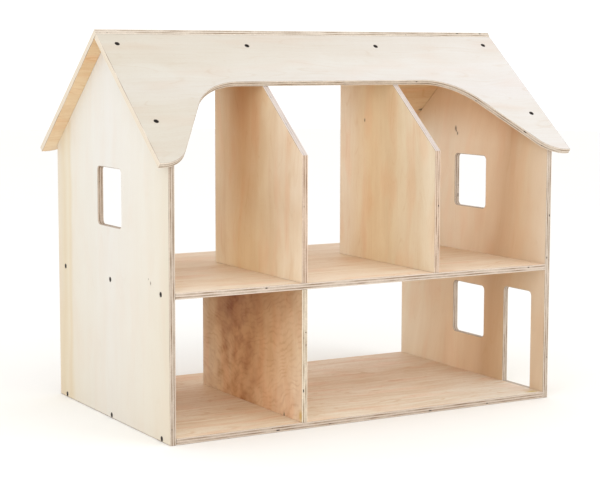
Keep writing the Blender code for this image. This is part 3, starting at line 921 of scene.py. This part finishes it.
def make_panel(scene, node, place, outline, crisp=(), openings=()):
    """A panel in the place of its CAD node. crisp lists the outline's edges that butt."""
    ease = scene.dollhouse_sizes.ease
    colours = scene.dollhouse_colours
    eases = [[CRISP if index in crisp else ease for index in range(len(outline))]]
    eases += [[ease] * len(hole) for hole in openings]
    veneer = VENEERS[node]
    materials = [
        sanded_birch_veneer(f"{node}_birch_veneer", veneer, colours),
        sawn_ply_edge(f"{node}_ply_edge", veneer, colours),
    ]
    loops = [outline, *openings]
    mesh = mesh_from(f"{node}_panel", lambda bm: slab(bm, loops, eases, SHEET), materials)
    piece = add_object(f"{node}_panel", mesh, place)
    bore_seats(piece, node, scene)
    shade(piece)
    declare(piece, node)
    return piece


def roof_outline(sizes, ridge):
    """A roof panel, cut out at the eave in an ogee on each side of a straight edge."""
    end = LENGTH / 2 + ROOF_OVERHANG
    angle = sizes.cut_angle
    centre = (sizes.cut_half, -sizes.cut_top - sizes.shoulder)
    curve = arc(centre, sizes.shoulder, QUARTER, QUARTER - angle, CURVE_STEPS)
    foot_rise = sizes.foot * (1 - math.cos(angle))
    drop = curve[-1].y + sizes.eave_length - foot_rise
    foot_x = curve[-1].x + drop / math.tan(angle) + sizes.foot * math.sin(angle)
    foot = (foot_x, sizes.foot - sizes.eave_length)
    curve += arc(foot, sizes.foot, 3 * QUARTER - angle, 3 * QUARTER, CURVE_STEPS)
    right = curve + [Vector((end, -sizes.eave_length)), Vector((end, ridge))]
    return [Vector((-point.x, point.y)) for point in reversed(right)] + right


class DOLLHOUSE_OT_gables(bpy.types.Operator):
    """Make the two gables, with their windows and the doorway."""

    bl_idname = "dollhouse.gables"
    bl_label = "Gables"

    def execute(self, context):
        scene = context.scene
        sizes = scene.dollhouse_sizes
        half, side = DEPTH / 2, sizes.window_side / 2
        outline = [Vector((-half, 0)), Vector((half, 0)), Vector((half, sizes.eave_height))]
        outline += [Vector((0, APEX_HEIGHT)), Vector((-half, sizes.eave_height))]
        windows = [
            opening(-side, side, middle - side, middle + side, sizes.window_corner)
            for middle in (sizes.upper_window, sizes.lower_window)
        ]
        near = sizes.door_inset - half
        far = near + sizes.door_width
        door = opening(near, far, SHEET, sizes.door_top, sizes.window_corner, square_base=True)
        slopes = (2, 3)
        for node, x, openings in (
            ("left_gable", -LENGTH / 2, windows[:1]),
            ("right_gable", LENGTH / 2 - SHEET, [*windows, door]),
        ):
            make_panel(scene, node, upright_at(x), outline, slopes, openings)
        return {"FINISHED"}


class DOLLHOUSE_OT_floors(bpy.types.Operator):
    """Make the base floor and the upper floor."""

    bl_idname = "dollhouse.floors"
    bl_label = "Floors"

    def execute(self, context):
        inner = LENGTH / 2 - SHEET - CLEARANCE
        outline = rectangle(-inner, inner, -DEPTH / 2, DEPTH / 2)
        ends = (1, 3)
        for node, low in (("base_floor", 0), ("upper_floor", UPPER_FLOOR_TOP - SHEET)):
            place = Matrix.Translation((0, 0, low))
            make_panel(context.scene, node, place, outline, ends)
        return {"FINISHED"}


class DOLLHOUSE_OT_dividers(bpy.types.Operator):
    """Make the lower divider and the two upper ones."""

    bl_idname = "dollhouse.dividers"
    bl_label = "Dividers"

    def execute(self, context):
        scene = context.scene
        sizes = scene.dollhouse_sizes
        front = -DEPTH / 2
        left = upright_at(-DIVIDER_X - SHEET / 2)
        right = upright_at(DIVIDER_X - SHEET / 2)
        low, high = SHEET + CLEARANCE, UPPER_FLOOR_TOP - SHEET - CLEARANCE
        outline = rectangle(front, LOWER_DIVIDER_BACK, low, high)
        make_panel(scene, "lower_divider", left, outline, (0, 2))
        base, back = UPPER_FLOOR_TOP + CLEARANCE, UPPER_DIVIDER_BACK
        back_height = APEX_HEIGHT - back * math.tan(pitch(sizes))
        corners = ((front, base), (back, base), (back, back_height), (0, APEX_HEIGHT))
        outline = [Vector(corner) for corner in (*corners, (front, sizes.eave_height))]
        for node, place in (("upper_left_divider", left), ("upper_right_divider", right)):
            make_panel(scene, node, place, outline, (0, 2))
        return {"FINISHED"}


class DOLLHOUSE_OT_roof(bpy.types.Operator):
    """Make the two roof panels. The rear one runs over the square end of the front one."""

    bl_idname = "dollhouse.roof"
    bl_label = "Roof"

    def execute(self, context):
        scene = context.scene
        sizes = scene.dollhouse_sizes
        turn = 2 * pitch(sizes)
        front_ridge = -(SHEET + CLEARANCE) / math.tan(turn)
        rear_ridge = (SHEET + CLEARANCE * (1 - math.cos(turn))) / math.sin(turn)
        lift = Matrix.Translation((0, 0, CLEARANCE))
        front = roof_outline(sizes, front_ridge)
        rear = roof_outline(sizes, rear_ridge)
        butted = (len(front) - 1,)
        make_panel(scene, "front_roof", front_slope(sizes) @ lift, front, butted)
        make_panel(scene, "rear_roof", rear_slope(sizes) @ lift, rear)
        return {"FINISHED"}


def screw_rings(fasteners):
    """Rings of a countersunk screw: a head, a plain shank, and a thread that runs to the point."""
    tip = -fasteners.screw_length
    head, crest, core = fasteners.head_radius, fasteners.crest_radius, fasteners.core_radius
    rim, blank = fasteners.head_rim, crest - UNDERCUT
    rings = [(0, 0.0), (head - rim / 2, 0.0), (head, -0.00015), (head, -rim)]
    neck = -rim - head + crest
    rings += [(crest, neck), (blank, neck - UNDERCUT), (blank, -fasteners.plain_length)]
    start, step = -fasteners.plain_length - 0.0005, fasteners.thread_pitch / 6
    count = int((start - tip) / step)
    for index in range(count):
        z = start - index * step
        # The thread's crest grows out of the shank, and narrows with the core to the point.
        taper = min(1.0, (z - tip) / fasteners.point_length)
        root, rise = core * taper, (crest - core) * min(1.0, 0.25 + taper, 0.2 + index / 8)

        def reach(angle, z=z, root=root, rise=rise):
            turns = (z / fasteners.thread_pitch + angle / (2 * math.pi)) % 1.0
            return root + rise * max(0.0, 1 - abs(turns - 0.5) / 0.24)

        rings.append((reach, z))
    rings.append((0, tip))
    return rings


def cross_recess(bm):
    """The tapered cross that the driver fits, cut into a head at Z = 0."""
    outlines = []
    for arm, half, z in RECESS:
        two_arms = [(arm, -half), (arm, half), (half, half)]
        two_arms += [(half, arm), (-half, arm), (-half, half)]
        outline = two_arms + [(-x, -y) for x, y in two_arms]
        outlines.append([bm.verts.new((x, y, z)) for x, y in outline])
    top, bottom = outlines
    bm.faces.new(top)
    bm.faces.new(list(reversed(bottom)))
    for index in range(len(top)):
        bm.faces.new((top[index - 1], top[index], bottom[index], bottom[index - 1]))


class DOLLHOUSE_OT_screws(bpy.types.Operator):
    """Make the countersunk screws, each driven to its own stop."""

    bl_idname = "dollhouse.screws"
    bl_label = "Screws"

    def execute(self, context):
        scene = context.scene
        fasteners = scene.dollhouse_fasteners
        steel = black_phosphate_steel(scene.dollhouse_colours)
        still = Matrix.Identity(4)
        rings = screw_rings(fasteners)
        mesh = mesh_from("screw", lambda bm: lathe(bm, rings, still, SCREW_SIDES), [steel])
        blank = add_object("screw_blank", mesh, still)
        cut(blank, mesh_from("recess", cross_recess), still)
        finished = blank.data
        bpy.data.objects.remove(blank)
        for prefix, places, _ in screw_groups(scene):
            for number, place in enumerate(places, 1):
                turn = Matrix.Rotation(SCREW_TURN * number, 4, "Z")
                node = f"{prefix}_{number}"
                piece = add_object(f"{node}_steel", finished.copy(), place @ turn)
                shade(piece)
                declare(piece, node)
        return {"FINISHED"}


class DOLLHOUSE_OT_dowels(bpy.types.Operator):
    """Make the fluted dowels between the lower divider and the upper floor."""

    bl_idname = "dollhouse.dowels"
    bl_label = "Dowels"

    def execute(self, context):
        scene = context.scene
        fasteners = scene.dollhouse_fasteners
        beech = fluted_beech(scene.dollhouse_colours)
        radius, half = fasteners.dowel_radius, fasteners.dowel_length / 2
        chamfer = fasteners.dowel_chamfer

        def fluted(angle):
            return radius - fasteners.flute_depth * (0.5 + 0.5 * math.cos(FLUTES * angle)) ** 3

        rings = [(0, half), (radius - chamfer, half), (fluted, half - chamfer)]
        rings += [(fluted, chamfer - half), (radius - chamfer, -half), (0, -half)]
        for number, place in enumerate(dowel_places(fasteners), 1):
            node = f"lower_divider_dowel_{number}"
            mesh = mesh_from(
                "dowel", lambda bm: lathe(bm, rings, Matrix.Identity(4), DOWEL_SIDES), [beech]
            )
            piece = add_object(f"{node}_beech", mesh, place)
            shade(piece)
            declare(piece, node)
        return {"FINISHED"}


def aimed(place, direction):
    """The place of a light or a camera that looks along the direction."""
    return Matrix.Translation(place) @ direction.to_track_quat("-Z", "Y").to_matrix().to_4x4()


def add_softbox(name, place, power):
    """A square area light at a place, aimed at the middle of the house."""
    data = bpy.data.lights.new(name, "AREA")
    data.shape = "SQUARE"
    data.size = SOFTBOX_SIDE
    data.energy = power
    add_object(name, data, aimed(place, Vector((0, 0, APEX_HEIGHT / 2)) - Vector(place)))


class DOLLHOUSE_OT_stage(bpy.types.Operator):
    """Make the floor, the lights, the surround and the camera."""

    bl_idname = "dollhouse.stage"
    bl_label = "Stage"

    def execute(self, context):
        scene = context.scene
        stage = scene.dollhouse_stage

        def disc(bm):
            bmesh.ops.create_circle(bm, cap_ends=True, segments=96, radius=stage.floor_radius)

        paper = mesh_from("studio_floor", disc, [seamless_paper(stage)])
        add_object("studio_floor", paper, Matrix.Translation((0, 0, -CLEARANCE)))

        add_softbox("key_softbox", KEY_PLACE, stage.key_power)
        add_softbox("fill_softbox", FILL_PLACE, stage.fill_power)
        world = bpy.data.worlds.new("white_surround")
        world.use_nodes = True
        surround = world.node_tree.nodes["Background"]
        surround.inputs["Color"].default_value = (1.0, 1.0, 1.0, 1.0)
        surround.inputs["Strength"].default_value = stage.surround
        scene.world = world
        scene.view_settings.view_transform = "Standard"

        lens = bpy.data.cameras.new("camera")
        lens.lens = FOCAL_LENGTH_MM
        lens.sensor_width = 36.0
        lens.clip_end = 50.0
        level, height = math.cos(CAMERA_ELEVATION), math.sin(CAMERA_ELEVATION)
        side, depth = math.sin(CAMERA_AZIMUTH) * level, -math.cos(CAMERA_AZIMUTH) * level
        back = Vector((side, depth, height))
        roll = Matrix.Rotation(CAMERA_ROLL, 4, "Z")
        scene.camera = add_object("camera", lens, aimed(CAMERA_PLACE, -back) @ roll)
        return {"FINISHED"}


class DOLLHOUSE_PT_panel(bpy.types.Panel):
    """Lists the pieces of the house and the values behind them."""

    bl_idname = "DOLLHOUSE_PT_panel"
    bl_label = "Dollhouse"
    bl_space_type = "VIEW_3D"
    bl_region_type = "UI"
    bl_category = "Dollhouse"

    def draw(self, context):
        for operator in OPERATORS:
            self.layout.operator(operator.bl_idname)
        for name, group in GROUPS.items():
            box = self.layout.box()
            for prop in group.__annotations__:
                box.prop(getattr(context.scene, name), prop)


GROUPS = {
    "dollhouse_sizes": DollhouseSizes,
    "dollhouse_fasteners": DollhouseFasteners,
    "dollhouse_colours": DollhouseColours,
    "dollhouse_stage": DollhouseStage,
}
OPERATORS = (
    DOLLHOUSE_OT_gables,
    DOLLHOUSE_OT_floors,
    DOLLHOUSE_OT_dividers,
    DOLLHOUSE_OT_roof,
    DOLLHOUSE_OT_screws,
    DOLLHOUSE_OT_dowels,
    DOLLHOUSE_OT_stage,
)


def register():
    for cls in (*GROUPS.values(), *OPERATORS, DOLLHOUSE_PT_panel):
        bpy.utils.register_class(cls)
    for name, group in GROUPS.items():
        setattr(bpy.types.Scene, name, bpy.props.PointerProperty(type=group))


def unregister():
    for name in GROUPS:
        delattr(bpy.types.Scene, name)
    for cls in (DOLLHOUSE_PT_panel, *reversed(OPERATORS), *GROUPS.values()):
        bpy.utils.unregister_class(cls)


def main():
    register()
    bpy.ops.dollhouse.gables()
    bpy.ops.dollhouse.floors()
    bpy.ops.dollhouse.dividers()
    bpy.ops.dollhouse.roof()
    bpy.ops.dollhouse.screws()
    bpy.ops.dollhouse.dowels()
    bpy.ops.dollhouse.stage()


if __name__ == "__main__":
    main()
